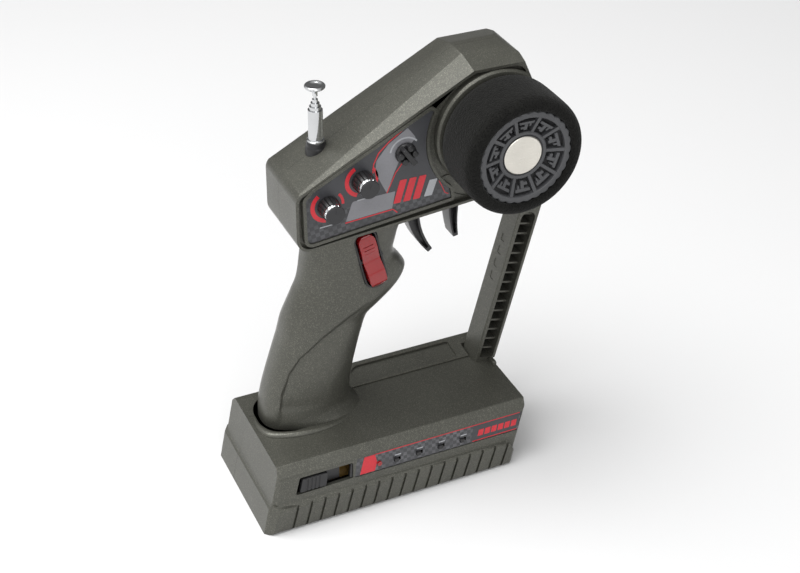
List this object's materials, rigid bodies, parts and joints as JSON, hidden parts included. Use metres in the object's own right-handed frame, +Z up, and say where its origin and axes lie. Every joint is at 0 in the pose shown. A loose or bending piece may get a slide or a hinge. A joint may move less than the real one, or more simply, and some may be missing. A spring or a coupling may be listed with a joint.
{
  "type": "radio transmitter controller",
  "caption": "Pistol-grip radio transmitter: battery base, leaning grip, slanted head with side steering wheel, trigger, trim knobs, strut and telescopic aerial.",
  "frame": {"origin": "centre of the base's flat underside", "axes": "+X forwards, towards the strut and wheel; -Y towards the steering wheel's outer face; +Z up"},
  "size_m": [0.2124, 0.0957, 0.2688],
  "materials": {
    "case": "metallic-flake moulded plastic, satin",
    "black_plastic": "satin",
    "rim_plastic": "satin",
    "panel": "printed, semi-gloss",
    "red_plastic": "gloss",
    "knob_cap": "satin",
    "chrome": "polished",
    "steel": "plain",
    "cap_metal": "spun",
    "bronze": "sintered",
    "foam": "open-cell foam",
    "cell_wrap": "shrink wrap",
    "board": "solder mask"
  },
  "bodies": {
    "casing": {"base_shell_right": "case", "base_shell_left": "case", "grip_shell_right": "case", "grip_shell_left": "case", "head_shell_right": "case", "head_shell_left": "case", "wheel_collar": "case", "front_strut": "case", "battery_tray": "black_plastic", "base_label": "black_plastic", "power_switch_body": "black_plastic", "reverse_switch_body": "black_plastic", "rocker_housing": "black_plastic", "steering_pot": "black_plastic", "throttle_pot": "black_plastic", "aerial_boss": "black_plastic", "control_panel": "panel", "power_led": "red_plastic", "aerial_tube": "chrome", "battery_contacts": "steel", "rocker_pin": "steel", "trim_pots": "steel", "rate_pot": "steel", "steering_spring": "steel", "trigger_pin": "steel", "trigger_spring": "steel", "crystal": "steel", "case_screws": "steel", "wheel_bush": "bronze", "battery_cells": "cell_wrap", "main_board": "board"},
    "battery_door": {"battery_door": "case"},
    "power_slider": {"power_slider": "black_plastic"},
    "reverse_lever_1": {"reverse_lever_1": "black_plastic"},
    "reverse_lever_2": {"reverse_lever_2": "black_plastic"},
    "reverse_lever_3": {"reverse_lever_3": "black_plastic"},
    "reverse_lever_4": {"reverse_lever_4": "black_plastic"},
    "trim_knob_rear": {"trim_knob_rear": "chrome", "trim_cap_rear": "knob_cap"},
    "trim_knob_mid": {"trim_knob_mid": "chrome", "trim_cap_mid": "knob_cap"},
    "rate_knob": {"rate_knob": "black_plastic"},
    "rocker": {"rocker_button": "red_plastic"},
    "steering_wheel": {"wheel_shaft": "steel", "steering_rim": "rim_plastic", "steering_foam": "foam", "wheel_screw": "steel", "wheel_cap": "cap_metal"},
    "trigger": {"trigger": "black_plastic"},
    "aerial_2": {"aerial_section_2": "chrome"},
    "aerial_3": {"aerial_section_3": "chrome"},
    "aerial_4": {"aerial_section_4": "chrome"},
    "aerial_5": {"aerial_section_5": "chrome", "aerial_cap": "chrome"}
  },
  "joints": [
    {"name": "steering", "type": "hinge", "parent": "casing", "child": "steering_wheel", "pos_m": [0.0745, -0.03, 0.2263], "axis": [0, -1, 0], "range_deg": [-38, 38], "stiffness_Nm_per_rad": 0.06},
    {"name": "trigger_pull", "type": "hinge", "parent": "casing", "child": "trigger", "pos_m": [0.047, 0.0115, 0.196], "axis": [0, 1, 0], "range_deg": [-9, 12], "stiffness_Nm_per_rad": 0.15},
    {"name": "trim_rear_turn", "type": "hinge", "parent": "casing", "child": "trim_knob_rear", "pos_m": [-0.0274, -0.0135, 0.1999], "axis": [0, -1, 0], "range_deg": [-140, 140]},
    {"name": "trim_mid_turn", "type": "hinge", "parent": "casing", "child": "trim_knob_mid", "pos_m": [-0.0068, -0.0135, 0.2113], "axis": [0, -1, 0], "range_deg": [-140, 140]},
    {"name": "rate_turn", "type": "hinge", "parent": "casing", "child": "rate_knob", "pos_m": [0.0191, -0.0135, 0.2232], "axis": [0, -1, 0], "range_deg": [-130, 130]},
    {"name": "rocker_press", "type": "hinge", "parent": "casing", "child": "rocker", "pos_m": [0.001, -0.0045, 0.1538], "axis": [0.9703, 0, 0.2419], "range_deg": [-5, 5], "stiffness_Nm_per_rad": 0.05},
    {"name": "power_slide", "type": "slide", "parent": "casing", "child": "power_slider", "axis": [1, 0, 0], "range_m": [0, 0.01]},
    {"name": "reverse_slide_1", "type": "slide", "parent": "casing", "child": "reverse_lever_1", "axis": [1, 0, 0], "range_m": [0, 0.0018]},
    {"name": "reverse_slide_2", "type": "slide", "parent": "casing", "child": "reverse_lever_2", "axis": [1, 0, 0], "range_m": [0, 0.0018]},
    {"name": "reverse_slide_3", "type": "slide", "parent": "casing", "child": "reverse_lever_3", "axis": [1, 0, 0], "range_m": [0, 0.0018]},
    {"name": "reverse_slide_4", "type": "slide", "parent": "casing", "child": "reverse_lever_4", "axis": [1, 0, 0], "range_m": [0, 0.0018]},
    {"name": "door_slide", "type": "slide", "parent": "casing", "child": "battery_door", "axis": [1, 0, 0], "range_m": [0, 0.014]},
    {"name": "aerial_draw_2", "type": "slide", "parent": "casing", "child": "aerial_2", "axis": [0, 0, 1], "range_m": [0, 0.118]},
    {"name": "aerial_draw_3", "type": "slide", "parent": "aerial_2", "child": "aerial_3", "axis": [0, 0, 1], "range_m": [0, 0.118]},
    {"name": "aerial_draw_4", "type": "slide", "parent": "aerial_3", "child": "aerial_4", "axis": [0, 0, 1], "range_m": [0, 0.118]},
    {"name": "aerial_draw_5", "type": "slide", "parent": "aerial_4", "child": "aerial_5", "axis": [0, 0, 1], "range_m": [0, 0.118]}
  ],
  "couplings": [
    {"joint": "aerial_draw_3", "follows": "aerial_draw_2", "ratio": 1},
    {"joint": "aerial_draw_4", "follows": "aerial_draw_2", "ratio": 1},
    {"joint": "aerial_draw_5", "follows": "aerial_draw_2", "ratio": 1}
  ]
}
